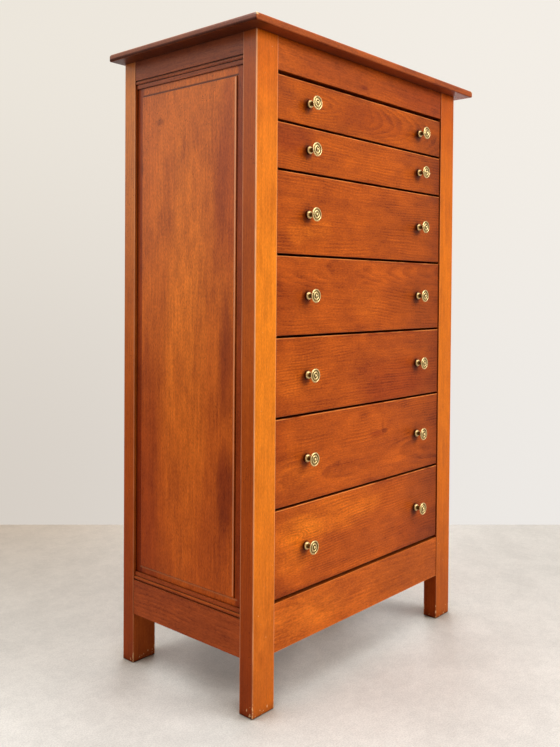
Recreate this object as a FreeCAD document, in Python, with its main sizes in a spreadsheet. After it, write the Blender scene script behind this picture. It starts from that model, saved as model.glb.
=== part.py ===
"""Semainier: a tall, narrow chest of seven drawers on four square posts.

Two side frames, each a pair of posts with moulded rails round a raised panel, are joined by rails
at the front and the back. The drawers are side-hung: a groove in each drawer side runs on a wooden
strip that is screwed to the posts, so no rail shows between the drawer fronts.

Units are millimetres. X is the width, Y the depth and Z the height. The front faces -Y and the
origin is on the floor, below the middle of the top board.
"""
import FreeCAD, Part
import math
import os
from types import SimpleNamespace

import Sketcher

# Driving dimensions. Every piece takes its size and its place from these.
SIZES = {
    # the carcass
    "carcass_width": 740,
    "carcass_depth": 403,
    "foot_height": 111,
    "post_width": 62,
    "post_depth": 36,
    "post_arris": 2,
    "post_small_arris": 0.8,
    "foot_bevel": 1.5,
    # the top board
    "top_thickness": 16,
    "top_side_overhang": 36,
    "top_front_overhang": 33,
    "top_back_overhang": 10,
    "top_corner_radius": 3,
    "top_upper_radius": 5,
    "top_lower_radius": 3,
    # rails across the front
    "top_rail_height": 65.5,
    "bottom_rail_height": 98,
    "front_rail_thickness": 22,
    "front_rail_recess": 1.5,
    # side frames: rails with a moulded edge round a panel with a raised field
    "side_top_rail_height": 60,
    "side_bottom_rail_height": 94,
    "side_rail_thickness": 22,
    "side_rail_recess": 1,
    "moulding_width": 18,
    "moulding_quirk_width": 2,
    "moulding_quirk_depth": 2.5,
    "moulding_bead_width": 6.5,
    "moulding_bead_rise": 2,
    "moulding_groove_width": 1.5,
    "moulding_groove_depth": 4.5,
    "moulding_strip_depth": 3.5,
    "panel_recess": 8,
    "panel_thickness": 8,
    "panel_front_margin": 22,
    "panel_rear_margin": 19,
    "panel_top_margin": 20,
    "panel_bottom_margin": 17,
    "panel_field_rise": 3,
    "panel_field_radius": 1.8,
    # rails and panel at the back
    "back_top_rail_height": 65.5,
    "back_bottom_rail_height": 98,
    "back_rail_thickness": 20,
    "back_rail_recess": 1,
    "back_panel_thickness": 5,
    # tenons, tongues and grooves
    "tenon_thickness": 8,
    "tenon_length": 24,
    "tenon_shoulder": 12,
    "tenon_play": 0.1,
    "tenon_end_play": 1,
    "tongue_length": 7,
    "tongue_play": 0.1,
    "tongue_end_play": 1,
    # runners that carry the drawers
    "runner_height": 12,
    "runner_thickness": 8,
    "runner_stop_gap": 0.5,
    "runner_lift": 0.3,
    "runner_play": 0.7,
    "runner_side_play": 0.8,
    "runner_end_gap": 1,
    "runner_front_screw": 6.5,
    "runner_back_screw": 10.5,
    # drawer fronts, from the top drawer down, and the gaps round them
    "drawer_1_height": 88,
    "drawer_2_height": 91,
    "drawer_3_height": 164,
    "drawer_4_height": 159.5,
    "drawer_5_height": 157.5,
    "drawer_6_height": 177.5,
    "drawer_7_height": 177,
    "drawer_gap": 5,
    "drawer_top_gap": 8,
    "drawer_bottom_gap": 7,
    "drawer_side_gap": 2,
    "drawer_recess": 2.5,
    "drawer_back_gap": 12,
    # drawer boxes
    "drawer_front_thickness": 20,
    "drawer_front_arris": 1.2,
    "drawer_side_thickness": 14,
    "drawer_side_lift": 3,
    "drawer_side_drop": 10,
    "drawer_back_thickness": 12,
    "drawer_back_inset": 8,
    "drawer_back_tongue": 5,
    "drawer_bottom_thickness": 5,
    "drawer_bottom_rise": 10,
    "drawer_bottom_groove": 6,
    "drawer_bottom_play": 0.2,
    "drawer_bottom_end_play": 0.5,
    "tail_length": 13,
    "tail_flare": 1.8,
    "tail_pitch": 38,
    "tail_share": 0.66,
    # knobs
    "knob_inset": 161,
    "knob_projection": 25.5,
    "knob_head_radius": 14.5,
    "knob_head_thickness": 2.2,
    "knob_edge_rise": 0.6,
    "knob_rim_width": 2.8,
    "knob_ring_radius": 8.6,
    "knob_ring_width": 2.8,
    "knob_ring_rise": 0.6,
    "knob_groove_depth": 1.9,
    "knob_groove_draft": 0.3,
    "knob_boss_radius": 3.2,
    "knob_boss_height": 1.8,
    "knob_boss_rise": 0.5,
    "knob_flare_rise": 2.6,
    "knob_neck_radius": 4.2,
    "knob_neck_length": 4,
    "knob_collar_base": 6.8,
    "knob_collar_length": 6.5,
    "knob_collar_rise": 2.4,
    "knob_collar_lip": 1,
    "knob_bore_depth": 13,
    # screws
    "knob_screw_radius": 2,
    "knob_screw_reach": 11,
    "knob_screw_head_radius": 4,
    "knob_screw_head_height": 2.4,
    "wood_screw_radius": 2,
    "wood_screw_head_radius": 4,
    "wood_screw_length": 25,
    "wood_screw_point": 5,
    "screw_sink": 0.3,
    "screw_play": 0.1,
    "screw_slot_width": 1,
    "screw_slot_depth": 1,
    # wooden buttons that hold the top down
    "button_length": 40,
    "button_reach": 34,
    "button_thickness": 14,
    "button_tongue_height": 5.5,
    "button_tongue_reach": 7,
    "button_gap": 0.5,
    "button_play": 0.3,
    "button_screw": 18,
    "button_offset": 150,
}

DRAWERS = range(1, 8)
LEFT, RIGHT = -1, 1
NEAR = 0.01  # how closely an edge must lie at a stated coordinate to be picked

doc = FreeCAD.newDocument("semainier")
sheet = doc.addObject("Spreadsheet::Sheet", "Sizes")
for row, (alias, number) in enumerate(SIZES.items(), start=1):
    sheet.set(f"A{row}", alias)
    sheet.set(f"B{row}", str(number))
    sheet.setAlias(f"B{row}", alias)
doc.recompute()


class Size:
    """A length that knows its number and the sheet expression it comes from."""

    def __init__(self, value, text):
        self.value = float(value)
        self.text = text

    def __add__(self, other):
        other = as_size(other)
        return Size(self.value + other.value, f"({self.text} + {other.text})")

    def __sub__(self, other):
        other = as_size(other)
        return Size(self.value - other.value, f"({self.text} - {other.text})")

    def __mul__(self, factor):
        factor = as_size(factor)
        return Size(self.value * factor.value, f"({self.text} * {factor.text})")

    def __truediv__(self, divisor):
        divisor = as_size(divisor)
        return Size(self.value / divisor.value, f"({self.text} / {divisor.text})")

    def __neg__(self):
        return Size(-self.value, f"(-1 * {self.text})")

    def __radd__(self, other):
        return as_size(other) + self

    def __rsub__(self, other):
        return as_size(other) - self


def as_size(length):
    if isinstance(length, Size):
        return length
    return Size(length, f"({float(length)})")


S = SimpleNamespace(**{alias: Size(number, f"Sizes.{alias}") for alias, number in SIZES.items()})

# Heights and widths that several pieces share.
half_width = S.carcass_width / 2
front_y = (S.top_front_overhang - S.top_back_overhang - S.carcass_depth) / 2
inner_half_width = half_width - S.post_width
drawer_half_width = inner_half_width - S.drawer_side_gap
side_inner_face = drawer_half_width - S.drawer_side_thickness
bottom_rail_top = S.foot_height + S.bottom_rail_height

drawer_height = {n: getattr(S, f"drawer_{n}_height") for n in DRAWERS}
drawer_base = {}
level = bottom_rail_top + S.drawer_bottom_gap
for n in reversed(DRAWERS):
    drawer_base[n] = level
    level = level + drawer_height[n] + S.drawer_gap
top_rail_base = level - S.drawer_gap + S.drawer_top_gap
post_height = top_rail_base + S.top_rail_height

side_panel_low = S.foot_height + S.side_bottom_rail_height
side_panel_high = post_height - S.side_top_rail_height
groove_depth = S.tongue_length + S.tongue_end_play
back_rail_front = S.carcass_depth - S.back_rail_recess - S.back_rail_thickness
back_panel_front = back_rail_front + (S.back_rail_thickness - S.back_panel_thickness) / 2
back_panel_low = S.foot_height + S.back_bottom_rail_height
back_panel_high = post_height - S.back_top_rail_height
runner_front = S.drawer_recess + S.drawer_front_thickness + S.runner_stop_gap
runner_back = back_panel_front - S.runner_end_gap
runner_screw_y = (runner_front + S.runner_front_screw, runner_back - S.runner_back_screw)
button_groove_depth = S.button_tongue_reach + S.button_gap
button_groove_low = post_height - S.button_thickness - S.button_play
button_groove_height = S.button_tongue_height + S.button_play * 2
drawer_depth = back_rail_front - S.drawer_back_gap - S.drawer_recess
groove_floor = S.drawer_side_lift + S.drawer_bottom_rise


# ---- the document's building blocks ----


def bind(item, name, length):
    item.setExpression(name, as_size(length).text)


def place(item, x=0, y=0, z=0, axis=None, angle=0):
    """Turns the item about an axis through its own origin, then moves that origin to x, y, z."""
    if axis is not None:
        turn = FreeCAD.Rotation(FreeCAD.Vector(*axis), angle)
        item.Placement = FreeCAD.Placement(FreeCAD.Vector(), turn)
    for name, length in zip("xyz", (x, y, z)):
        bind(item, f"Placement.Base.{name}", length)
    return item


def new_body(label):
    body = doc.addObject("PartDesign::Body", label)
    body.Label = label
    return body


def carcass_body(label):
    """A body in the carcass frame: x from the middle, y behind the posts' front, z from the floor."""
    return place(new_body(label), y=front_y)


def box(body, kind, name, x, y, z):
    """Adds or cuts a box. Each of x, y and z is where it starts and how far it runs."""
    item = body.newObject(f"PartDesign::{kind}Box", name)
    for axis, size, (start, run) in zip("xyz", ("Length", "Width", "Height"), (x, y, z)):
        bind(item, size, run)
        bind(item, f"Placement.Base.{axis}", start)
    return item


def add_box(body, name, x, y, z):
    return box(body, "Additive", name, x, y, z)


def cut_box(body, name, x, y, z):
    return box(body, "Subtractive", name, x, y, z)


def cut_round(body, name, radius, start, run, axis, angle):
    """Cuts a round hole of a given run from a start point, along Z turned about an axis."""
    item = body.newObject("PartDesign::SubtractiveCylinder", name)
    bind(item, "Radius", radius)
    bind(item, "Height", run)
    return place(item, *start, axis=axis, angle=angle)


def cut_cone(body, name, radius, end_radius, start, run, axis, angle):
    """Cuts a countersink that narrows from radius to end_radius over its run."""
    item = body.newObject("PartDesign::SubtractiveCone", name)
    bind(item, "Radius1", radius)
    bind(item, "Radius2", end_radius)
    bind(item, "Height", run)
    return place(item, *start, axis=axis, angle=angle)


def arc_radius(corner, next_corner):
    """Radius of the arc over the chord from corner to next_corner, from the arc's rise."""
    across = as_size(next_corner[0]) - corner[0]
    up = as_size(next_corner[1]) - corner[1]
    rise = as_size(corner[2])
    return ((across * across + up * up) / 4 + rise * rise) / rise / 2


def arc_between(start, end, radius, bulge_left):
    """The shorter arc from start to end, bulging to the left or the right of that way."""
    chord = end - start
    middle = (start + end) / 2
    left = FreeCAD.Vector(-chord.y, chord.x, 0).normalize()
    reach = math.sqrt(radius**2 - (chord.Length / 2) ** 2)
    centre = middle - left * (reach if bulge_left else -reach)
    first, last = (end, start) if bulge_left else (start, end)
    angles = [math.atan2(point.y - centre.y, point.x - centre.x) for point in (first, last)]
    if angles[1] < angles[0]:
        angles[1] += 2 * math.pi
    return Part.ArcOfCircle(Part.Circle(centre, FreeCAD.Vector(0, 0, 1), radius), *angles)


def draw_outline(sketch, corners):
    """Draws a closed outline and ties it to the sheet.

    A corner is (u, v), with a straight edge to the next one, or (u, v, rise, bulge_left) with an
    arc to the next one: rise is how far the arc stands off its chord.
    """
    points = [FreeCAD.Vector(as_size(c[0]).value, as_size(c[1]).value, 0) for c in corners]
    edges = []
    ends = []
    radii = []
    for index, corner in enumerate(corners):
        following = (index + 1) % len(corners)
        start, end = points[index], points[following]
        if len(corner) == 2:
            edges.append(Part.LineSegment(start, end))
            ends.append((1, 2))
            radii.append(None)
        else:
            radius = arc_radius(corner, corners[following])
            edges.append(arc_between(start, end, radius.value, corner[3]))
            ends.append((2, 1) if corner[3] else (1, 2))
            radii.append(radius)
    numbers = sketch.addGeometry(edges, False)
    constraints = []
    lengths = []
    for index, corner in enumerate(corners):
        edge, before = numbers[index], numbers[index - 1]
        here = ends[index][0]
        point = points[index]
        joined = (before, ends[index - 1][1], edge, here)
        constraints.append(Sketcher.Constraint("Coincident", *joined))
        lengths.append(None)
        constraints.append(Sketcher.Constraint("DistanceX", -1, 1, edge, here, point.x))
        lengths.append(corner[0])
        constraints.append(Sketcher.Constraint("DistanceY", -1, 1, edge, here, point.y))
        lengths.append(corner[1])
        if radii[index] is not None:
            constraints.append(Sketcher.Constraint("Radius", edge, radii[index].value))
            lengths.append(radii[index])
    for index, length in zip(sketch.addConstraint(constraints), lengths):
        if length is not None:
            bind(sketch, f"Constraints[{index}]", length)


def draw_circle(sketch, u, v, radius):
    centre = FreeCAD.Vector(as_size(u).value, as_size(v).value, 0)
    circle = Part.Circle(centre, FreeCAD.Vector(0, 0, 1), as_size(radius).value)
    number = sketch.addGeometry(circle, False)
    constraints = [
        Sketcher.Constraint("DistanceX", -1, 1, number, 3, centre.x),
        Sketcher.Constraint("DistanceY", -1, 1, number, 3, centre.y),
        Sketcher.Constraint("Radius", number, circle.Radius),
    ]
    for index, length in zip(sketch.addConstraint(constraints), (u, v, radius)):
        bind(sketch, f"Constraints[{index}]", length)


def new_sketch(body, name, plane, outlines=(), circles=(), offset=0):
    """A sketch on one of the body's origin planes, moved along that plane's normal by offset."""
    sketch = body.newObject("Sketcher::SketchObject", name)
    support = next(item for item in body.Origin.OriginFeatures if item.Role == plane)
    sketch.AttachmentSupport = [(support, "")]
    sketch.MapMode = "FlatFace"
    bind(sketch, "AttachmentOffset.Base.z", offset)
    for outline in outlines:
        draw_outline(sketch, outline)
    for circle in circles:
        draw_circle(sketch, *circle)
    return sketch


def extrude(body, kind, name, sketch, run, reverse=False):
    """A Pad or a Pocket of a sketch. A pad runs along the plane's normal, a pocket against it."""
    item = body.newObject(f"PartDesign::{kind}", name)
    item.Profile = sketch
    bind(item, "Length", run)
    item.Reversed = reverse
    sketch.Visibility = False
    return item


def turn_solid(body, name, sketch):
    """A solid of revolution of a sketch about the sketch's own upright axis."""
    item = body.newObject("PartDesign::Revolution", name)
    item.Profile = sketch
    item.ReferenceAxis = (sketch, ["V_Axis"])
    item.Angle = 360
    return item


def edges_at(feature, **where):
    """Names of the feature's edges that lie wholly at the given x, y or z."""
    names = []
    for index, edge in enumerate(feature.Shape.Edges, start=1):
        limits = edge.BoundBox
        spans = {
            "x": (limits.XMin, limits.XMax),
            "y": (limits.YMin, limits.YMax),
            "z": (limits.ZMin, limits.ZMax),
        }
        distances = [abs(end - as_size(where[axis]).value) for axis in where for end in spans[axis]]
        if max(distances) < NEAR:
            names.append(f"Edge{index}")
    return names


def dress(body, kind, name, base, size, *places):
    """A Fillet or a Chamfer on the edges of base at each of the given places."""
    doc.recompute()
    edges = [edge for where in places for edge in edges_at(base, **where)]
    item = body.newObject(f"PartDesign::{kind}", name)
    item.Base = (base, edges)
    bind(item, "Radius" if kind == "Fillet" else "Size", size)
    return item


def copy_of(master, label):
    link = doc.addObject("App::Link", label)
    link.LinkedObject = master
    return link


def group(label, members):
    """One sub-part of several separate solids."""
    item = doc.addObject("Part::Compound", label)
    item.Links = members
    item.Label = label
    return item


def inward(side, start, run):
    """The stretch of x that begins start inside the carcass's outer face and runs inward."""
    low = start - half_width if side == LEFT else half_width - start - run
    return low, run


def from_face(rear, start, run):
    """The stretch of y that begins start behind the front face, or before the rear face."""
    low = S.carcass_depth - start - run if rear else as_size(start)
    return low, run


def side_name(side):
    return "left" if side == LEFT else "right"


# ---- screws ----


def wood_screw():
    """A slotted countersunk screw with its head at the origin and its point along +Z."""
    body = new_body("wood_screw")
    head_height = S.wood_screw_head_radius - S.wood_screw_radius
    outline = [
        (0, 0),
        (S.wood_screw_head_radius, 0),
        (S.wood_screw_radius, head_height),
        (S.wood_screw_radius, S.wood_screw_length - S.wood_screw_point),
        (0, S.wood_screw_length),
    ]
    turn_solid(body, "shank", new_sketch(body, "section", "XZ_Plane", [outline]))
    slot_x = (-S.screw_slot_width / 2, S.screw_slot_width)
    slot_y = (-S.wood_screw_head_radius, S.wood_screw_head_radius * 2)
    cut_box(body, "slot", slot_x, slot_y, (0, S.screw_slot_depth))
    return body


def knob_screw():
    """A slotted machine screw along -Y, with its head behind y = 0."""
    body = new_body("knob_screw")
    reach = S.drawer_front_thickness + S.knob_screw_reach
    outline = [
        (0, -reach),
        (S.knob_screw_radius, -reach),
        (S.knob_screw_radius, 0),
        (S.knob_screw_head_radius, 0),
        (S.knob_screw_head_radius, S.knob_screw_head_height),
        (0, S.knob_screw_head_height),
    ]
    turn_solid(body, "shank", new_sketch(body, "section", "XY_Plane", [outline]))
    slot_x = (-S.screw_slot_width / 2, S.screw_slot_width)
    slot_y = (S.knob_screw_head_height - S.screw_slot_depth, S.screw_slot_depth)
    slot_z = (-S.knob_screw_head_radius, S.knob_screw_head_radius * 2)
    cut_box(body, "slot", slot_x, slot_y, slot_z)
    return body


def cut_screw_hole(body, name, start, run, axis, angle):
    """A clearance hole with a countersink at its start, for a wood screw sunk below the face."""
    hole_radius = S.wood_screw_radius + S.screw_play
    sink_radius = S.wood_screw_head_radius + S.screw_sink + S.screw_play
    sink_depth = sink_radius - hole_radius
    cut_round(body, f"{name}_hole", hole_radius, start, run, axis, angle)
    cut_cone(body, f"{name}_sink", sink_radius, hole_radius, start, sink_depth, axis, angle)


def cut_pilot(body, name, start, through, axis, angle):
    """A pilot hole for the stretch of a wood screw beyond what it passes through."""
    run = S.wood_screw_length - S.screw_sink - through + S.tenon_end_play
    cut_round(body, name, S.wood_screw_radius + S.screw_play, start, run, axis, angle)


# ---- the carcass ----


def runner_level(n):
    """Height of the middle of a drawer's runners above the floor."""
    low = drawer_base[n] + S.drawer_side_lift
    high = drawer_base[n] + drawer_height[n] - S.drawer_side_drop
    return (low + high) / 2


def rail_tenon(low, high):
    """The stretch of z of a rail's tenon, set in from both of the rail's edges."""
    return low + S.tenon_shoulder, high - low - S.tenon_shoulder * 2


def side_tenon(low, high, panel_above):
    """The stretch of z of a side rail's tenon, which also stays clear of the panel's groove."""
    clear = groove_depth + S.tongue_play
    if panel_above:
        return low + S.tenon_shoulder, high - clear - low - S.tenon_shoulder
    return low + clear, high - S.tenon_shoulder - low - clear


def widened(stretch, play):
    start, run = stretch
    return start - play, run + play * 2


def side_tenon_x(side):
    """The tenons of the side rails are in line with the panel's groove."""
    return inward(side, S.panel_recess, S.tenon_thickness)


def front_tenon_y():
    start = S.front_rail_recess + (S.front_rail_thickness - S.tenon_thickness) / 2
    return start, S.tenon_thickness


def back_tenon_y():
    return back_rail_front + (S.back_rail_thickness - S.tenon_thickness) / 2, S.tenon_thickness


BOTTOM_SIDE_TENON = side_tenon(S.foot_height, side_panel_low, True)
TOP_SIDE_TENON = side_tenon(side_panel_high, post_height, False)
FRONT_TENONS = (
    rail_tenon(S.foot_height, bottom_rail_top),
    rail_tenon(top_rail_base, post_height),
)
BACK_TENONS = (
    rail_tenon(S.foot_height, back_panel_low - groove_depth),
    rail_tenon(back_panel_high + groove_depth, post_height),
)


def post(side, rear):
    """A square post with its mortises, its panel grooves and the runners' pilot holes."""
    body = carcass_body(f"{'rear' if rear else 'front'}_{side_name(side)}_post")
    board_x = inward(side, 0, S.post_width)
    board_y = from_face(rear, 0, S.post_depth)
    board = add_box(body, "board", board_x, board_y, (0, post_height))
    outer_x = as_size(half_width * side)
    inner_x = as_size(inner_half_width * side)
    outer_y = from_face(rear, 0, 0)[0]
    inner_y = from_face(rear, S.post_depth, 0)[0]
    foot = dress(body, "Chamfer", "foot_bevel", board, S.foot_bevel, dict(z=0))
    corner = dress(body, "Fillet", "outer_arris", foot, S.post_arris, dict(x=outer_x, y=outer_y))
    others = (dict(x=outer_x, y=inner_y), dict(x=inner_x, y=outer_y))
    dress(body, "Fillet", "small_arrises", corner, S.post_small_arris, *others)

    play = S.tenon_play
    mortise_run = S.tenon_length + S.tenon_end_play
    side_mortise_y = from_face(rear, S.post_depth - mortise_run, mortise_run)
    for name, stretch in (("bottom", BOTTOM_SIDE_TENON), ("top", TOP_SIDE_TENON)):
        x = widened(side_tenon_x(side), play)
        cut_box(body, f"{name}_side_mortise", x, side_mortise_y, widened(stretch, play))
    groove_x = widened(inward(side, S.panel_recess, S.panel_thickness), S.tongue_play)
    groove_y = from_face(rear, S.post_depth - groove_depth, groove_depth)
    groove_z = (side_panel_low - groove_depth, side_panel_high - side_panel_low + groove_depth * 2)
    cut_box(body, "side_panel_groove", groove_x, groove_y, groove_z)

    mortise_x = inward(side, S.post_width - mortise_run, mortise_run)
    mortise_y = back_tenon_y() if rear else front_tenon_y()
    for name, stretch in zip(("bottom", "top"), BACK_TENONS if rear else FRONT_TENONS):
        z = widened(stretch, play)
        cut_box(body, f"{name}_rail_mortise", mortise_x, widened(mortise_y, play), z)
    if rear:
        x = inward(side, S.post_width - groove_depth, groove_depth)
        y = widened((back_panel_front, S.back_panel_thickness), S.tongue_play)
        z = (back_panel_low - groove_depth, back_panel_high - back_panel_low + groove_depth * 2)
        cut_box(body, "back_panel_groove", x, y, z)

    for n in DRAWERS:
        start = (inner_x, runner_screw_y[rear], runner_level(n))
        cut_pilot(body, f"runner_{n}_pilot", start, S.runner_thickness, (0, 1, 0), 90 * side)
    return body


def cut_button_groove(body, x, y):
    """The groove in a top rail's inner face that takes the tongues of the buttons."""
    cut_box(body, "button_groove", x, y, (button_groove_low, button_groove_height))


def front_rail(label, low, high, buttoned):
    """A rail between the front posts, tenoned into both."""
    body = carcass_body(label)
    board_y = (S.front_rail_recess, S.front_rail_thickness)
    add_box(body, "board", (-inner_half_width, inner_half_width * 2), board_y, (low, high - low))
    tenon_x = (-inner_half_width - S.tenon_length, (inner_half_width + S.tenon_length) * 2)
    add_box(body, "tenons", tenon_x, front_tenon_y(), rail_tenon(low, high))
    if buttoned:
        groove_start = S.front_rail_recess + S.front_rail_thickness - button_groove_depth
        x = (-inner_half_width, inner_half_width * 2)
        cut_button_groove(body, x, (groove_start, button_groove_depth))
    return body


def back_rail(name):
    """A rail between the rear posts, grooved for the back panel."""
    body = carcass_body(f"back_{name}_rail")
    at_top = name == "top"
    low = back_panel_high if at_top else S.foot_height
    high = post_height if at_top else back_panel_low
    groove_low = low if at_top else high - groove_depth
    board_x = (-inner_half_width, inner_half_width * 2)
    add_box(body, "board", board_x, (back_rail_front, S.back_rail_thickness), (low, high - low))
    tenon_x = (-inner_half_width - S.tenon_length, (inner_half_width + S.tenon_length) * 2)
    add_box(body, "tenons", tenon_x, back_tenon_y(), BACK_TENONS[at_top])
    panel_y = widened((back_panel_front, S.back_panel_thickness), S.tongue_play)
    cut_box(body, "panel_groove", board_x, panel_y, (groove_low, groove_depth))
    if at_top:
        cut_button_groove(body, board_x, (back_rail_front, button_groove_depth))
    return body


def moulding_corners(edge, way, face, into):
    """The moulded edge of a side rail: quirk, bead, groove and flat strip, down to the panel.

    edge is the height of the rail's edge and way is +1 where the flat face is above it. face is
    the x of the flat face and into is +1 where deeper is +x.
    """
    flat_edge = edge + S.moulding_width * way
    bead_start = flat_edge - S.moulding_quirk_width * way
    bead_end = bead_start - S.moulding_bead_width * way
    strip_start = bead_end - S.moulding_groove_width * way
    quirk_x = face + S.moulding_quirk_depth * into
    groove_x = face + S.moulding_groove_depth * into
    strip_x = face + S.moulding_strip_depth * into
    bulge_left = way * into < 0
    return [
        (face, flat_edge),
        (quirk_x, flat_edge),
        (quirk_x, bead_start, S.moulding_bead_rise, bulge_left),
        (quirk_x, bead_end),
        (groove_x, bead_end),
        (groove_x, strip_start),
        (strip_x, strip_start),
        (strip_x, edge),
    ]


def side_rail(side, name):
    """A rail of a side frame, with its moulded edge and groove towards the panel."""
    body = carcass_body(f"{side_name(side)}_{name}_rail")
    at_top = name == "top"
    low = side_panel_high if at_top else S.foot_height
    high = post_height if at_top else side_panel_low
    face = (half_width - S.side_rail_recess) * side
    back = (half_width - S.side_rail_recess - S.side_rail_thickness) * side
    if at_top:
        moulding = moulding_corners(low, 1, face, -side)
        outline = [(back, high), (face, high)] + moulding + [(back, low)]
    else:
        moulding = moulding_corners(high, -1, face, -side)
        outline = [(back, low), (face, low)] + moulding + [(back, high)]
    section = new_sketch(body, "section", "XZ_Plane", [outline], offset=-S.post_depth)
    rail_run = S.carcass_depth - S.post_depth * 2
    extrude(body, "Pad", "moulded_board", section, rail_run, reverse=True)
    tenon_y = (S.post_depth - S.tenon_length, rail_run + S.tenon_length * 2)
    tenon_z = TOP_SIDE_TENON if at_top else BOTTOM_SIDE_TENON
    add_box(body, "tenons", side_tenon_x(side), tenon_y, tenon_z)
    groove_x = widened(inward(side, S.panel_recess, S.panel_thickness), S.tongue_play)
    groove_z = (low, groove_depth) if at_top else (high - groove_depth, groove_depth)
    cut_box(body, "panel_groove", groove_x, (S.post_depth, rail_run), groove_z)
    if at_top:
        groove_start = S.side_rail_recess + S.side_rail_thickness - button_groove_depth
        x = inward(side, groove_start, button_groove_depth)
        cut_button_groove(body, x, (S.post_depth, rail_run))
    return body


def side_panel(side):
    """A board in the frame's grooves, with a raised field inside a flat margin."""
    body = carcass_body(f"{side_name(side)}_panel")
    tongue = S.tongue_length
    run_y = S.carcass_depth - S.post_depth * 2 + tongue * 2
    run_z = side_panel_high - side_panel_low + tongue * 2
    x = inward(side, S.panel_recess, S.panel_thickness)
    add_box(body, "board", x, (S.post_depth - tongue, run_y), (side_panel_low - tongue, run_z))
    surface = (half_width - S.panel_recess) * side
    near = S.post_depth + S.panel_front_margin
    far = S.carcass_depth - S.post_depth - S.panel_rear_margin
    low = side_panel_low + S.panel_bottom_margin
    high = side_panel_high - S.panel_top_margin
    corners = [(near, low), (far, low), (far, high), (near, high)]
    outline = new_sketch(body, "field_outline", "YZ_Plane", [corners], offset=surface)
    field = extrude(body, "Pad", "field", outline, S.panel_field_rise, reverse=side == LEFT)
    crest = surface + S.panel_field_rise * side
    dress(body, "Fillet", "field_rounding", field, S.panel_field_radius, dict(x=crest))
    return body


def back_panel():
    body = carcass_body("back_panel")
    tongue = S.tongue_length
    x = (-inner_half_width - tongue, (inner_half_width + tongue) * 2)
    z = (back_panel_low - tongue, back_panel_high - back_panel_low + tongue * 2)
    add_box(body, "board", x, (back_panel_front, S.back_panel_thickness), z)
    return body


def runner(side):
    """A strip that carries one side of a drawer, drawn with its middle height at z = 0."""
    body = new_body(f"{side_name(side)}_runner")
    x = inward(side, S.post_width, S.runner_thickness)
    z = (-S.runner_height / 2, S.runner_height)
    add_box(body, "strip", x, (runner_front, runner_back - runner_front), z)
    face_x = (inner_half_width - S.runner_thickness) * side
    for name, y in zip(("front", "back"), runner_screw_y):
        cut_screw_hole(body, name, (face_x, y, 0), S.runner_thickness, (0, 1, 0), 90 * side)
    return body


# ---- the top board and its buttons ----


def button():
    """A rebated block: its tongue points along +Y from the rail's inner face at y = 0."""
    body = new_body("button")
    tongue_top = S.button_tongue_height - S.button_thickness
    outline = [
        (-S.button_reach, 0),
        (-S.button_reach, -S.button_thickness),
        (S.button_tongue_reach, -S.button_thickness),
        (S.button_tongue_reach, tongue_top),
        (-S.button_gap, tongue_top),
        (-S.button_gap, 0),
    ]
    section = new_sketch(body, "section", "YZ_Plane", [outline], offset=-S.button_length / 2)
    extrude(body, "Pad", "block", section, S.button_length)
    start = (0, -S.button_screw, -S.button_thickness)
    cut_screw_hole(body, "fixing", start, S.button_thickness, (0, 0, 1), 0)
    return body


def button_places():
    """Where each button's tongue meets its rail: x, y in the carcass frame and the turn about Z."""
    front_face = S.front_rail_recess + S.front_rail_thickness
    side_face = half_width - S.side_rail_recess - S.side_rail_thickness
    return [
        (-S.button_offset, front_face, 180),
        (S.button_offset, front_face, 180),
        (-S.button_offset, back_rail_front, 0),
        (S.button_offset, back_rail_front, 0),
        (-side_face, S.carcass_depth / 2, 90),
        (side_face, S.carcass_depth / 2, -90),
    ]


def button_screw_spot(x, y, turn):
    """The screw is set back from the tongue's root, away from the rail."""
    back_x = round(math.sin(math.radians(turn)))
    back_y = -round(math.cos(math.radians(turn)))
    return x + S.button_screw * back_x, y + S.button_screw * back_y


def top_board():
    body = carcass_body("top")
    half = half_width + S.top_side_overhang
    near = -S.top_front_overhang
    far = S.carcass_depth + S.top_back_overhang
    z = (post_height, S.top_thickness)
    board = add_box(body, "board", (-half, half * 2), (near, far - near), z)
    corners = [dict(x=half * sign, y=y) for sign in (LEFT, RIGHT) for y in (near, far)]
    rounded = dress(body, "Fillet", "corners", board, S.top_corner_radius, *corners)
    upper = dict(z=post_height + S.top_thickness)
    upper_round = dress(body, "Fillet", "upper_edge", rounded, S.top_upper_radius, upper)
    dress(body, "Fillet", "lower_edge", upper_round, S.top_lower_radius, dict(z=post_height))
    for index, spot in enumerate(button_places(), start=1):
        x, y = button_screw_spot(*spot)
        start = (x, y, post_height)
        cut_pilot(body, f"button_{index}_pilot", start, S.button_thickness, (0, 0, 1), 0)
    return body


# ---- drawers ----
# A drawer's own frame: x from the middle, y behind the front's face, z from the front's lower edge.
# Its back stands on its bottom, which runs out below it.

back_start = drawer_depth - S.drawer_back_inset - S.drawer_back_thickness
drawer_back_y = (back_start, S.drawer_back_thickness)
back_low = groove_floor + S.drawer_bottom_thickness + S.drawer_bottom_play


def drawer_place(item, n, x=0, y=0, z=0):
    return place(item, x, front_y + S.drawer_recess + y, drawer_base[n] + z)


def drawer_body(label, n):
    return drawer_place(new_body(label), n)


def side_stretch(n):
    """The stretch of z of a drawer's sides."""
    low = S.drawer_side_lift
    return low, drawer_height[n] - S.drawer_side_drop - low


def tails(n):
    """The four corners of each dovetail of a drawer's side, from the lowest up."""
    low, run = side_stretch(n)
    count = max(2, round(run.value / S.tail_pitch.value))
    pitch = run / count
    wide = pitch * S.tail_share / 2
    narrow = wide - S.tail_flare
    root = S.drawer_front_thickness
    tip = S.drawer_front_thickness - S.tail_length
    middles = [low + pitch * (index + 0.5) for index in range(count)]
    return [
        [(root, z - narrow), (tip, z - wide), (tip, z + wide), (root, z + narrow)]
        for z in middles
    ]


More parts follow.
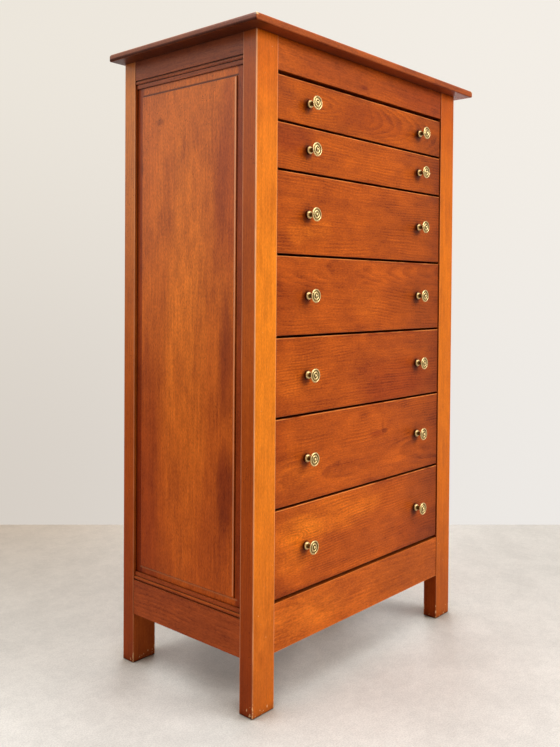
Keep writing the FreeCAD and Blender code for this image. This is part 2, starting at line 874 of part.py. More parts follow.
def drawer_front(n):
    body = drawer_body(f"drawer_{n}_front", n)
    board_x = (-drawer_half_width, drawer_half_width * 2)
    board_y = (0, S.drawer_front_thickness)
    board = add_box(body, "board", board_x, board_y, (0, drawer_height[n]))
    dress(body, "Fillet", "front_arris", board, S.drawer_front_arris, dict(y=0))
    for side in (LEFT, RIGHT):
        end = drawer_half_width * side
        name = f"{side_name(side)}_sockets"
        outline = new_sketch(body, f"{name}_outline", "YZ_Plane", tails(n), offset=end)
        extrude(body, "Pocket", name, outline, S.drawer_side_thickness, reverse=side == LEFT)
    groove_x = (-side_inner_face, side_inner_face * 2)
    groove_y = (S.drawer_front_thickness - S.drawer_bottom_groove, S.drawer_bottom_groove)
    groove_z = (groove_floor, S.drawer_bottom_thickness + S.drawer_bottom_play)
    cut_box(body, "bottom_groove", groove_x, groove_y, groove_z)
    hole_radius = S.knob_screw_radius + S.screw_play
    holes = [(x, drawer_height[n] / 2, hole_radius) for x in knob_x()]
    outline = new_sketch(body, "knob_holes_outline", "XZ_Plane", circles=holes)
    extrude(body, "Pocket", "knob_holes", outline, S.drawer_front_thickness)
    return body


def drawer_side(n, side):
    """A side with its dovetails, the runner's groove outside and the bottom's groove inside."""
    body = drawer_body(f"drawer_{n}_{side_name(side)}_side", n)
    low, run = side_stretch(n)
    high = low + run
    outline = [(S.drawer_front_thickness, low)]
    for tail in tails(n):
        outline += tail
    outline += [(S.drawer_front_thickness, high), (drawer_depth, high), (drawer_depth, low)]
    inner = side_inner_face * side
    section = new_sketch(body, "section", "YZ_Plane", [outline], offset=inner)
    extrude(body, "Pad", "board", section, S.drawer_side_thickness, reverse=side == LEFT)

    def outer_x(start, depth):
        """The stretch of x that begins start inside this side's outer face."""
        return inward(side, S.post_width + S.drawer_side_gap + start, depth)

    runner_middle = low + run / 2
    groove_x = outer_x(0, S.runner_thickness - S.drawer_side_gap + S.runner_side_play)
    groove_y = (S.drawer_front_thickness, drawer_depth - S.drawer_front_thickness)
    groove_low = runner_middle - S.runner_height / 2 - S.runner_play
    groove_z = (groove_low, S.runner_height + S.runner_play + S.runner_lift)
    cut_box(body, "runner_groove", groove_x, groove_y, groove_z)

    tip = S.drawer_front_thickness - S.tail_length
    inside = outer_x(S.drawer_side_thickness - S.drawer_bottom_groove, S.drawer_bottom_groove)
    bottom_z = (groove_floor, S.drawer_bottom_thickness + S.drawer_bottom_play)
    cut_box(body, "bottom_groove", inside, (tip, drawer_depth - tip), bottom_z)
    dado_x = outer_x(S.drawer_side_thickness - S.drawer_back_tongue, S.drawer_back_tongue)
    cut_box(body, "back_dado", dado_x, drawer_back_y, (back_low, high - back_low))
    return body


def drawer_back(n):
    body = drawer_body(f"drawer_{n}_back", n)
    low, run = side_stretch(n)
    half = side_inner_face + S.drawer_back_tongue
    z = (back_low, low + run - back_low)
    add_box(body, "board", (-half, half * 2), drawer_back_y, z)
    return body


def drawer_bottom(n):
    body = drawer_body(f"drawer_{n}_bottom", n)
    half = side_inner_face + S.drawer_bottom_groove - S.drawer_bottom_end_play
    start = S.drawer_front_thickness - S.drawer_bottom_groove + S.drawer_bottom_end_play
    run = drawer_depth - S.drawer_bottom_end_play - start
    z = (groove_floor, S.drawer_bottom_thickness)
    add_box(body, "board", (-half, half * 2), (start, run), z)
    return body


def knob_x():
    """The knobs stand the same distance from both outer faces of the carcass."""
    reach = half_width - S.knob_inset
    return -reach, reach


def knob():
    """A turned knob along -Y: a collar on the drawer, a neck, and a ringed head."""
    body = new_body("knob")
    bore = S.knob_screw_radius + S.screw_play
    crest = S.knob_projection - S.knob_boss_height
    shoulder = crest - S.knob_ring_rise
    floor = crest - S.knob_groove_depth
    head_back = crest - S.knob_head_thickness
    rim_outer = S.knob_head_radius - S.knob_edge_rise
    rim_inner = S.knob_head_radius - S.knob_rim_width
    ring_inner = S.knob_ring_radius - S.knob_ring_width
    draft = S.knob_groove_draft
    lip = S.knob_collar_lip
    outline = [
        (bore, 0),
        (S.knob_collar_base, 0, S.knob_collar_rise, True),
        (S.knob_neck_radius + lip, -S.knob_collar_length),
        (S.knob_neck_radius, -S.knob_collar_length - lip),
        (S.knob_neck_radius, -S.knob_collar_length - S.knob_neck_length, S.knob_flare_rise, False),
        (rim_outer, -head_back, S.knob_edge_rise, True),
        (rim_outer, -shoulder, S.knob_ring_rise, True),
        (rim_inner, -shoulder),
        (rim_inner - draft, -floor),
        (S.knob_ring_radius + draft, -floor),
        (S.knob_ring_radius, -shoulder, S.knob_ring_rise, True),
        (ring_inner, -shoulder),
        (ring_inner - draft, -floor),
        (S.knob_boss_radius, -floor),
        (S.knob_boss_radius, -crest, S.knob_boss_rise, True),
        (0, -S.knob_projection),
        (0, -S.knob_bore_depth),
        (bore, -S.knob_bore_depth),
    ]
    turn_solid(body, "turning", new_sketch(body, "section", "XY_Plane", [outline]))
    return body


# ---- assembly ----

parts = [top_board()]
parts += [post(side, rear) for rear in (False, True) for side in (LEFT, RIGHT)]
parts.append(front_rail("front_top_rail", top_rail_base, post_height, True))
parts.append(front_rail("front_bottom_rail", S.foot_height, bottom_rail_top, False))
for side in (LEFT, RIGHT):
    parts += [side_rail(side, "top"), side_rail(side, "bottom"), side_panel(side)]

parts.append(group("back_rails", [back_rail("bottom"), back_rail("top")]))
parts.append(back_panel())

wood_screw_master = wood_screw()
knob_screw_master = knob_screw()
knob_master = knob()
button_master = button()
runner_masters = {side: runner(side) for side in (LEFT, RIGHT)}

runners = []
screws = []
for n in DRAWERS:
    for side in (LEFT, RIGHT):
        strip = copy_of(runner_masters[side], f"runner_{n}_{side_name(side)}")
        runners.append(place(strip, y=front_y, z=runner_level(n)))
        head_x = (inner_half_width - S.runner_thickness + S.screw_sink) * side
        for index, y in enumerate(runner_screw_y, start=1):
            screw = copy_of(wood_screw_master, f"runner_{n}_{side_name(side)}_screw_{index}")
            screws.append(place(screw, head_x, front_y + y, runner_level(n), (0, 1, 0), 90 * side))

buttons = []
for index, (x, y, turn) in enumerate(button_places(), start=1):
    block = copy_of(button_master, f"button_{index}")
    buttons.append(place(block, x, front_y + y, post_height, (0, 0, 1), turn))
    screw_x, screw_y = button_screw_spot(x, y, turn)
    screw = copy_of(wood_screw_master, f"button_{index}_screw")
    head_z = post_height - S.button_thickness + S.screw_sink
    screws.append(place(screw, screw_x, front_y + screw_y, head_z))

parts.append(group("drawer_runners", runners))
parts.append(group("top_buttons", buttons))
parts.append(group("carcass_screws", screws))

for n in DRAWERS:
    sides = [drawer_side(n, side) for side in (LEFT, RIGHT)]
    knobs = []
    knob_screws = []
    for side, x in zip((LEFT, RIGHT), knob_x()):
        turned = copy_of(knob_master, f"drawer_{n}_{side_name(side)}_knob")
        knobs.append(drawer_place(turned, n, x, 0, drawer_height[n] / 2))
        bolt = copy_of(knob_screw_master, f"drawer_{n}_{side_name(side)}_knob_screw")
        knob_screws.append(drawer_place(bolt, n, x, S.drawer_front_thickness, drawer_height[n] / 2))
    parts.append(drawer_front(n))
    parts.append(group(f"drawer_{n}_sides", sides))
    parts.append(drawer_back(n))
    parts.append(drawer_bottom(n))
    parts.append(group(f"drawer_{n}_knobs", knobs))
    parts.append(group(f"drawer_{n}_knob_screws", knob_screws))

doc.recompute()

for item in doc.Objects:
    if "Invalid" in item.State or "Error" in item.State:
        raise RuntimeError(f"{item.Label} failed to build: {item.State}")
for item in parts:
    if item.Shape.isNull() or not item.Shape.isValid():
        raise RuntimeError(f"{item.Label} has no valid shape")

os.makedirs("parts", exist_ok=True)
for item in parts:
    item.Shape.exportStep(f"parts/{item.Label}.step")
print(f"{len(parts)} sub-parts, {sum(len(item.Shape.Solids) for item in parts)} solids")
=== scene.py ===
"""Looks for a semainier: a chest of seven drawers in stained wood, with turned brass knobs."""

import math

import bpy
from mathutils import Euler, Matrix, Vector


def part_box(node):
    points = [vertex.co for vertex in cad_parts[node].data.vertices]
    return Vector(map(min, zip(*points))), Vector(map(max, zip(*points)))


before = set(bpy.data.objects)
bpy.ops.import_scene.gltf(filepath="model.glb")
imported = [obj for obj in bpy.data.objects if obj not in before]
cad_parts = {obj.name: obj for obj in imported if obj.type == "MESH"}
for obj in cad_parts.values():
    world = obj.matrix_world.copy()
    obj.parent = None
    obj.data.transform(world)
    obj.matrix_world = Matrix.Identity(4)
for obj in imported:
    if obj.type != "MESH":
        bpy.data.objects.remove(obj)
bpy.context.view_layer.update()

# Lengths and places are in metres, and colours are linear.
# The camera's place, and how its view meets the picture, in pixels of IMAGE_SIZE.
IMAGE_SIZE = (560, 747)
CAMERA_PLACE = Vector((-1.5268, -1.2827, 0.8328))
CAMERA_YAW = math.radians(48.35)
CAMERA_PITCH = math.radians(-1.09)
CAMERA_ROLL = math.radians(-0.41)
CAMERA_TURN = Euler((math.pi / 2 + CAMERA_PITCH, CAMERA_ROLL, -CAMERA_YAW))
FOCAL_PIXELS = 829.2
AXIS_PIXEL_Y = 306.5
SENSOR = 36.0

# The floor ends at the foot of the wall, which is at WALL_PIXEL_Y in the picture.
WALL_PIXEL_Y = 524.7
FLOOR_REACH = 10.0
FLOOR_NEAR = (0.86, 0.845, 0.80)
# Painted shade: far off, the floor is darker and warmer, most of all to the left.
FLOOR_FAR_LEFT = (0.50, 0.39, 0.285)
FLOOR_FAR_RIGHT = (0.645, 0.61, 0.56)
FLOOR_MOTTLE = ((2.5, 0.06), (12.0, 0.06), (60.0, 0.05), (300.0, 0.14))
# Painted shadow round the feet and under the chest, within CONTACT_REACH of them.
CONTACT_REACH = 0.10
CONTACT_SHADE = (0.50, 0.45, 0.38)
# Painted light: far off, the floor glows where the camera and gloss see it, so that it fades into the
# wall.
FAR_GLOW = (1.0, 0.95, 0.88)
FAR_GLOW_STRENGTH = 0.32

# The painted shadow under the chest, a dim patch of floor turned from the x axis.
DIM_PLACE = (-0.127, 0.052)
DIM_TURN = math.radians(33)
DIM_REACH = (0.35, 0.145)
DIM_SHADE = (0.56, 0.53, 0.50)

# The wall, with painted shade low down and on the left, and the light that comes from it.
LEFT_WALL_LOW, LEFT_WALL_HIGH = (0.665, 0.61, 0.55), (0.84, 0.79, 0.71)
RIGHT_WALL_LOW, RIGHT_WALL_HIGH = (0.85, 0.82, 0.785), (0.90, 0.855, 0.79)
BELOW_WALL = (0.74, 0.68, 0.62)
FILL_COLOUR = (1.0, 0.92, 0.82)
FILL_STRENGTH = 0.36

# The stained woods, the bare woods and the metals.
POST_COLOUR = (0.79, 0.185, 0.013)
FRONT_TOP_RAIL_COLOUR = (0.435, 0.069, 0.0063)
FRONT_LOW_RAIL_COLOUR = (0.57, 0.1058, 0.011025)
PANEL_COLOUR = (0.64, 0.135, 0.022)
SIDE_TOP_RAIL_COLOUR = (0.28, 0.056, 0.022)
SIDE_LOW_RAIL_COLOUR = (0.46, 0.098, 0.030)
TOP_COLOUR = (0.35, 0.063, 0.0125)
DRAWER_COLOUR = (0.46, 0.077, 0.0080)
BARE_COLOUR = (0.62, 0.405, 0.225)
BACK_COLOUR = (0.27, 0.095, 0.034)
BRASS_COLOUR = (0.74, 0.56, 0.275)
PATINA_COLOUR = (0.12, 0.074, 0.017)
STEEL_COLOUR = (0.45, 0.43, 0.40)

# What shows where the stain wears or chips off, also a painted highlight on arrises and corners, a pale
# dusty ledge with a painted highlight, and the varnish's amber gloss.
WEAR_AND_HIGHLIGHT = (0.88, 0.27, 0.060)
PALE_ARRIS = (0.97, 0.50, 0.26)
# Chips, and also a painted highlight on the top's corners.
CHIP_AND_HIGHLIGHT = (0.90, 0.62, 0.30)
DUST_AND_HIGHLIGHT = (0.62, 0.30, 0.14)
GLOSS_TINT = (1.0, 0.45, 0.15)

# From here to BRASS_CLOUD, the numbers are factors that a colour is multiplied by.
WHITE = (1.0, 1.0, 1.0)
DEEP, BRIGHT = (0.40, 0.30, 0.42), (1.50, 1.75, 1.35)
BARE_DEEP, BARE_BRIGHT = (0.72, 0.62, 0.50), (1.20, 1.20, 1.20)
END_GRAIN = (0.30, 0.29, 0.50)
# Grime and painted shade in gaps and corners, and at the feet.
GRIME_AND_SHADE = (0.16, 0.11, 0.15)
# Painted shade in sheltered hollows, on varnished and on bare wood.
SHELTERED_SHADE = (0.50, 0.40, 0.42)
BARE_SHELTERED_SHADE = (0.50, 0.42, 0.36)
# A knob's painted shadow, with grime from hands.
KNOB_SHADOW_DIRT = (0.34, 0.26, 0.34)
SPECK = (0.25, 0.20, 0.25)

# Marks and stains on the faces.
STAIN = (0.62, 0.48, 0.75)
STAINED = (0.62, 0.45, 0.70)
# A brown stain, also used as painted shade at the drawers' right ends.
BROWN_STAIN_AND_SHADE = (0.66, 0.62, 0.64)
BRUISED = (0.48, 0.36, 0.62)
KNOT = (0.45, 0.36, 0.50)
PALE = (1.22, 1.36, 1.20)
GLOWING = (1.38, 1.60, 1.20)

# How the colour differs from place to place on the posts, the chest's sides and the top: stain, and
# painted shade and sheen where noted.
POST_SIDE = (0.67, 0.55, 1.0)
HIGH_SIDE = (0.80, 0.71, 0.64)
# Painted shade under the chest's top, high up on the posts' faces.
HIGH_FACE = (0.84, 0.66, 0.42)
MIDDLE_FACE = (1.07, 1.15, 1.15)
POST_FOOT = (0.62, 0.50, 0.90)
# Painted sheen, paling the rear posts' sides high up.
PAINTED_SHEEN = (1.14, 1.62, 3.0)
FRONT_RIGHT_POST = (0.80, 0.70, 0.50)
REAR_POSTS = (0.62, 0.55, 1.10)
# Painted shade, darker and redder towards the foot of the chest's sides.
SIDE_FOOT_SHADE = (0.745, 0.57, 0.47)
# The panels' sunk margin at the front and rear: stain, with painted shade of the posts.
PANEL_MARGIN = (0.54, 0.40, 0.50)
TOP_END_FRONT, TOP_END_REAR = (2.0, 2.3, 3.0), (2.3, 3.3, 5.0)
# Painted shade on the underside of the top, deepest under the left overhang and lighter to the right.
TOP_UNDERSIDE = (0.52, 0.47, 0.68)
TOP_UNDER_LEFT = (0.50, 0.50, 0.50)
TOP_UNDER_RIGHT = (1.22, 1.22, 1.22)
BRASS_CLOUD = (0.80, 0.76, 0.66)

# The knobs, the inner and outer radius of each dark ring on their faces, and the painted shadow and
# grime round them.
KNOB_RADIUS = 0.0145
KNOB_GROOVES = ((0.0034, 0.0055), (0.0091, 0.0114))
GROOVE_EDGE = 0.0005
KNOB_SHADOW_RADIUS = 0.019
KNOB_SHADOW_OFFSET = 0.004

# The chest's sides darken with painted shade from SIDE_TOP down to SIDE_FOOT.
SIDE_TOP, SIDE_FOOT = 1.05, 0.25

# How far the raised field of a side panel lies inside the panel's edges.
FIELD_IN_SIDE, FIELD_IN_TOP, FIELD_IN_FOOT = 0.029, 0.027, 0.024

# How far from a place another face can shelter it, which paints shade on wood and patina on brass, and
# how deep the raised grain is.
CORNER_REACH = 0.004
HOLLOW_REACH = 0.024
BARE_HOLLOW_REACH = 0.02
KNOB_NECK_REACH = 0.012
GRAIN_DEPTH = 0.00012
BARE_GRAIN_DEPTH = 0.00015

# Pairs of a board's directions, whose sides meet at an arris.
ALONG_ACROSS, ACROSS_INTO = (0, 1), (1, 2)

# The drawers' numbers, from the top down.
DRAWERS = range(1, 8)


class Term:
    """The output of a node. Arithmetic on it adds nodes."""

    def __init__(self, graph, socket):
        self.graph = graph
        self.socket = socket

    def __add__(self, other):
        return self.graph.math("ADD", self, other)

    def __sub__(self, other):
        return self.graph.math("SUBTRACT", self, other)

    def __rsub__(self, other):
        return self.graph.math("SUBTRACT", other, self)

    def __mul__(self, other):
        return self.graph.math("MULTIPLY", self, other)

    def __truediv__(self, other):
        return self.graph.math("DIVIDE", self, other)


class Graph:
    """The nodes of one material or world."""

    def __init__(self, owner):
        owner.use_nodes = True
        self.owner = owner
        self.nodes = owner.node_tree.nodes
        self.links = owner.node_tree.links

    def node(self, kind, **settings):
        node = self.nodes.new(kind)
        for name, value in settings.items():
            setattr(node, name, value)
        return node

    def feed(self, socket, value):
        """Links a term to a socket, or sets the socket to a number or a colour."""
        if isinstance(value, Term):
            self.links.new(value.socket, socket)
        elif socket.type == "RGBA" and len(value) == 3:
            socket.default_value = (*value, 1)
        else:
            socket.default_value = value

    def term(self, node):
        return Term(self, node.outputs[0])

    def math(self, operation, *values):
        node = self.node("ShaderNodeMath", operation=operation)
        for socket, value in zip(node.inputs, values):
            self.feed(socket, value)
        return self.term(node)

    def vector(self, x, y, z):
        node = self.node("ShaderNodeCombineXYZ")
        for socket, value in zip(node.inputs, (x, y, z)):
            self.feed(socket, value)
        return self.term(node)

    def parts(self, vector):
        """The three numbers of a vector."""
        node = self.node("ShaderNodeSeparateXYZ")
        self.feed(node.inputs[0], vector)
        return [Term(self, socket) for socket in node.outputs]

    def noise(self, place, detail=2.0, rough=0.5, warp=0.0):
        """Cloudy noise about one unit in size, mostly 0.3 to 0.7."""
        node = self.node("ShaderNodeTexNoise")
        self.feed(node.inputs["Vector"], place)
        self.feed(node.inputs["Scale"], 1.0)
        self.feed(node.inputs["Detail"], detail)
        self.feed(node.inputs["Roughness"], rough)
        self.feed(node.inputs["Distortion"], warp)
        return self.term(node)

    def step(self, value, low, high):
        """A smooth rise from 0 at low to 1 at high. It falls instead if low is above high."""
        node = self.node("ShaderNodeMapRange", interpolation_type="SMOOTHSTEP")
        for socket, number in zip(node.inputs, (value, low, high, 0.0, 1.0)):
            self.feed(socket, number)
        return self.term(node)

    def band(self, value, low, full, still, high):
        """1 from full to still, falling to 0 at low and at high."""
        return self.step(value, low, full) * self.step(value, high, still)

    def mix(self, share, first, second, blend="MIX"):
        """The first colour, blended with the second by share."""
        node = self.node("ShaderNodeMix", data_type="RGBA", blend_type=blend)
        colours = [socket for socket in node.inputs if socket.type == "RGBA"]
        self.feed(node.inputs["Factor"], share)
        self.feed(colours[0], first)
        self.feed(colours[1], second)
        return Term(self, next(o for o in node.outputs if o.type == "RGBA"))

    def tint(self, share, colour, factors):
        """The colour, multiplied by factors where share is 1."""
        return self.mix(share, colour, factors, "MULTIPLY")

    def gap_shade(self, reach):
        """Up to 1 in hollows that other faces close in within reach."""
        node = self.node("ShaderNodeAmbientOcclusion", samples=6)
        self.feed(node.inputs["Distance"], reach)
        return 1.0 - Term(self, node.outputs["AO"])

    def seen(self):
        """1 where the camera, gloss and glass look, and 0 where light is cast."""
        path = self.node("ShaderNodeLightPath")
        seen = Term(self, path.outputs["Is Camera Ray"])
        for kind in ("Is Glossy Ray", "Is Transmission Ray"):
            seen = self.math("MAXIMUM", seen, Term(self, path.outputs[kind]))
        return seen

    def bump(self, height, depth):
        node = self.node("ShaderNodeBump")
        self.feed(node.inputs["Height"], height)
        self.feed(node.inputs["Distance"], depth)
        return self.term(node)


class Surface(Graph):
    """A material that reads its place in the frame, in metres."""

    def __init__(self, name):
        super().__init__(bpy.data.materials.new(name))
        self.shader = self.nodes["Principled BSDF"]
        coordinates = self.node("ShaderNodeTexCoord")
        self.place = self.parts(Term(self, coordinates.outputs["Object"]))
        self.normal = self.parts(Term(self, coordinates.outputs["Normal"]))

    def set(self, **values):
        """Feeds the shader's sockets, which are named with underscores here."""
        for name, value in values.items():
            self.feed(self.shader.inputs[name.replace("_", " ")], value)

    def wear(self, *nodes):
        """Puts the material on CAD nodes."""
        for name in nodes:
            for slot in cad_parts[name].material_slots:
                slot.material = self.owner


class Board(Surface):
    """Wood in metres along its grain, across its face and into it, from the middle of its box."""

    def __init__(self, name, run, seed, box=None):
        """run names the axes along, across and into the board, and seed sets its figure."""
        super().__init__(name)
        low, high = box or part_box(name)
        order = ["xyz".index(letter) for letter in run]
        centred = [self.place[axis] - (low[axis] + high[axis]) / 2 for axis in order]
        self.along, self.across, self.into = centred
        self.half = [(high[axis] - low[axis]) / 2 for axis in order]
        self.end_face = self.math("ABSOLUTE", self.normal[order[0]])
        self.seed = seed
        self.fibres = self.streaks(0.05, 0.0018)
        self.clouds = self.streaks(0.16, 0.065, 4.0, 0.5)

    def streaks(self, length, width, detail=2.0, warp=0.0):
        """Noise in patches about as long and as wide as given."""
        shifted = self.along / length + self.seed
        place = self.vector(shifted, self.across / width + self.seed, self.into / width)
        return self.noise(place, detail, warp=warp)

    def spot(self, along, across, length, width, ragged=0.0):
        """1 at a place on the face, falling to 0 at about length and width from it."""
        down = (self.along - along) / length
        over = (self.across - across) / width
        away = down * down + over * over
        if ragged:
            away = away + (self.streaks(length / 2, width / 2) - 0.5) * ragged
        return self.step(away, 1.0, 0.0)

    def margin(self, direction):
        """Metres in from the nearer side of the box: 0 is along the board, 1 across and 2 into it."""
        middle = (self.along, self.across, self.into)[direction]
        return self.half[direction] - self.math("ABSOLUTE", middle)

    def arris(self, reach, directions):
        """1 on the edges where the box's sides in two directions meet, falling to 0 at reach."""
        away = self.math("MAXIMUM", *[self.margin(direction) for direction in directions])
        return self.step(away, reach, reach * 0.3)

    def growth(self, heart, pitch, lean=0.0, wander=0.03, knots=()):
        """The late wood of rings, as 1, round the tree's heart, a place across and into the board.

        pitch is the rings' spacing, lean is how far the heart tilts into the board along it, and wander
        is how far the rings drift across. A knot is its place along and across, and its size.
        """
        drift = (self.streaks(0.35, 0.15, 1.0) - 0.5) * wander
        across = self.across - heart[0] + drift
        depth = self.into - heart[1] + self.along * lean
        radius = self.math("SQRT", across * across + depth * depth)
        radius = radius + (self.streaks(0.07, 0.035, 2.0) - 0.5) * (pitch * 1.2)
        for along, off, size in knots:
            radius = radius + self.spot(along, off, size * 3.0, size) * (size * 0.8)
        return self.band(self.math("FRACT", radius / pitch), 0.05, 0.80, 0.86, 1.0)


def scaled(colour, *factors):
    """The colour, with each channel multiplied by its factor."""
    return tuple(channel * factor for channel, factor in zip(colour, factors))


def wood_tone(board, rings, line=0.22, streak=0.35, cloud=1.0, mottle=0.42):
    """0 to 1 from dark to pale by rings, fibres, streaks, pores and uneven stain.

    line, streak, cloud and mottle are how strongly rings, fibres, wide clouds and small blotches show.
    """
    fine = board.streaks(0.20, 0.006)
    blotch = board.streaks(0.035, 0.020, 3.0)
    pores = board.streaks(0.006, 0.0025, 1.0)
    shown = board.step(board.streaks(0.12, 0.05), 0.42, 0.62)
    tone = (board.fibres + fine - 1.0) * streak + (blotch + pores * 1.6 - 1.3) * mottle
    return tone + (board.clouds - 0.5) * cloud + (0.3 - rings) * (shown * line) + 0.5


def stained_wood(board, colour, rings, **strengths):
    """The colour, darkened and brightened by the wood's tone."""
    tone = wood_tone(board, rings, **strengths)
    return board.mix(tone, scaled(colour, *DEEP), scaled(colour, *BRIGHT))


def specks(board, shade, share):
    """Small dark specks and dents in the finish, thick in some places and rare in others."""
    specks_per_metre = 330.0
    dots = board.noise(board.vector(*[axis * specks_per_metre for axis in board.place]), 0.0)
    places = board.streaks(0.10, 0.05)
    dark = board.step(dots + (places - 0.5) * 0.5, 0.80, 0.84) * share
    return board.tint(dark, shade, SPECK)


def marked(board, shade, marks):
    """Stains and pale patches: share, factors, place (along, across) and size (length, width)."""
    for share, factors, (along, across), (length, width) in marks:
        spot = board.spot(along, across, length, width, ragged=1.2)
        shade = board.tint(spot * share, shade, factors)
    return shade


def shade_toward_foot(board, shade, share=1.0):
    """Painted shade: the chest's sides are darker and redder towards the foot, as light falls from
    above.
    """
    return board.tint(board.step(board.place[2], SIDE_TOP, SIDE_FOOT) * share, shade, SIDE_FOOT_SHADE)


def sheen(board):
    """The polish that is left high up on the chest's sides."""
    return board.step(board.place[2], 0.5, 1.25) * 0.85


def relief(board, rings, depth):
    """Raised fibres, with the late wood of the rings a little lower."""
    return board.bump(board.fibres - rings * 0.35, depth)


def varnish(board, shade, rings, pale_share=0.0, gloss=0.0, bare=WEAR_AND_HIGHLIGHT):
    """Dark end grain, grime and painted shade in hollows and gaps, pale arrises that show wear and on
    some parts a painted highlight, a satin finish and a fine raised grain.
    """
    shade = board.tint(board.step(board.end_face, 0.5, 0.9), shade, END_GRAIN)
    # Painted shade, with grime, in corners, hollows and the gaps between parts.
    corner = board.step(board.gap_shade(CORNER_REACH), 0.18, 0.46)
    sheltered = board.gap_shade(HOLLOW_REACH)
    shade = board.tint(board.step(sheltered, 0.08, 0.48) * 0.60, shade, SHELTERED_SHADE)
    gap = board.step(sheltered, 0.60, 0.88)
    shade = board.tint(board.math("MAXIMUM", corner * 0.85, gap), shade, GRIME_AND_SHADE)
    board.set(
        Base_Color=board.mix(pale_share, shade, bare),
        Roughness=(board.clouds - 0.5) * 0.25 + 0.42,
        Specular_IOR_Level=0.12,
        Specular_Tint=GLOSS_TINT,
        Coat_Roughness=0.28,
        Coat_Weight=gloss,
        Normal=relief(board, rings, GRAIN_DEPTH),
    )


def paled_edges(board, edges):
    """How pale the edges are: more in some places than in others."""
    return edges * board.step(board.streaks(0.05, 0.02), 0.25, 0.60) * 0.8


def post_stain(board, shade, side, front, sheen_painted):
    """The sides, top and foot are darker, with painted shade under the top and towards the foot, and a
    painted sheen on the rear posts' sides; a face is brightest in its middle.
    """
    facing = 1.0 - side
    height = board.place[2]
    shade = board.tint(side, board.tint(facing, shade, front), POST_SIDE)
    shade = shade_toward_foot(board, shade, side)
    shade = board.tint(board.step(height, 0.45, 1.30) * side * sheen_painted, shade, PAINTED_SHEEN)
    shade = board.tint(board.step(height, 0.70, 1.0) * side * (1.0 - sheen_painted), shade, HIGH_SIDE)
    shade = board.tint(board.step(height, 1.10, 1.30) * facing, shade, HIGH_FACE)
    middle = board.band(height, 0.30, 0.60, 0.85, 1.10)
    shade = board.tint(middle * facing, shade, MIDDLE_FACE)
    return board.tint(board.step(height, 0.45, 0.0) * 0.7, shade, POST_FOOT)


def chipped_foot(board, shade, edge):
    """Bare chips, most of them near the floor and on edges, and grime with a painted contact shadow
    where the foot stands.
    """
    height = board.place[2]
    near_floor = board.step(height, 0.035, 0.0) * 0.15
    low_edge = edge * board.step(height, 0.14, 0.0) * 0.17
    chips = board.step(board.streaks(0.008, 0.005) + (near_floor + low_edge), 0.77, 0.81)
    shade = board.mix(chips * 0.7, shade, CHIP_AND_HIGHLIGHT)
    # Grime with a painted contact shadow along the foot's bottom.
    return board.tint(board.step(height, 0.005, 0.0) * 0.7, shade, GRIME_AND_SHADE)


def post(name, seed, heart, front=WHITE, pale_share=0.25, sheen_painted=0.0):
    """front tints the faces to the front and the back, the next argument pales the edges with wear and
    a painted highlight, and the last paints a sheen on the sides.
    """
    board = Board(name, "zxy", seed)
    rings = board.growth(heart, pitch=0.006, lean=0.01)
    shade = stained_wood(board, POST_COLOUR, rings, line=0.12, streak=0.30, cloud=0.4, mottle=0.22)
    side = board.step(board.math("ABSOLUTE", board.normal[0]), 0.6, 0.95)
    shade = post_stain(board, shade, side, front, sheen_painted)
    edge = board.arris(0.003, ACROSS_INTO)
    shade = chipped_foot(board, specks(board, shade, side * 0.8), edge)
    outer_half = board.step(board.math("ABSOLUTE", board.place[0]), 0.340, 0.350)
    high_up = board.step(board.place[2], 0.0, 1.2)
    outer_front = board.step(board.into, 0.0, -0.01) * high_up * outer_half
    # Pale arris lines, wear with a painted highlight, most at the chest's outer front corners high up.
    edge_paling = edge * pale_share * (board.streaks(0.05, 0.02) + outer_front)
    varnish(board, board.mix(edge_paling, shade, PALE_ARRIS), rings, gloss=side * sheen(board))
    board.wear(name)


def past_field(board):
    """Metres above the raised field's top, and metres below its foot."""
    down = board.half[0] - board.along
    up = board.along + board.half[0]
    return FIELD_IN_TOP - down, FIELD_IN_FOOT - up


def panel_margin(board, shade):
    """The sunk margin is darker, stain with painted shade of the posts, with grime and painted shade
    above the field and a pale, dusty line with a painted highlight on the ledge below it.
    """
    above, below = past_field(board)
    inward = board.margin(1)
    sunk = board.step(board.margin(2), 0.0024, 0.0028)
    # Darker at the front and rear: stain, with painted shade of the posts.
    shade = board.tint(sunk * board.step(inward, 0.032, 0.024), shade, PANEL_MARGIN)
    shade = specks(board, shade, board.step(board.place[2], 1.10, 1.25) * 0.5 + 0.35)
    # Grime and painted shade in the corner above the field.
    dirt_and_shade = board.band(above, 0.0, 0.0010, 0.0035, 0.0050) * board.step(inward, 0.024, 0.028)
    shade = board.tint(sunk * dirt_and_shade * 0.85, shade, GRIME_AND_SHADE)
    # A pale line below the field, dusty and with a painted highlight.
    dust_and_light = board.band(below, 0.0010, 0.0018, 0.0038, 0.0050) * board.step(inward, 0.020, 0.024)
    return board.mix(sunk * dust_and_light * 0.28, shade, DUST_AND_HIGHLIGHT)


def field_edge(board, shoulder, forward):
    """How pale the field's edge is: a line at the front that shows wear and a painted highlight, and a
    faint shoulder at the rear.
    """
    above, below = past_field(board)
    line = board.band(board.margin(1) - FIELD_IN_SIDE, 0.0012, 0.0020, 0.0044, 0.0052)
    line = line * board.step(below, -0.002, -0.006) * forward
    line = line * (board.step(board.place[2], 0.4, 1.1) * 0.35 + 0.30)
    pale = board.math("MAXIMUM", shoulder * (1.0 - forward) * 0.20, line)
    return pale * board.step(above, -0.001, -0.004)


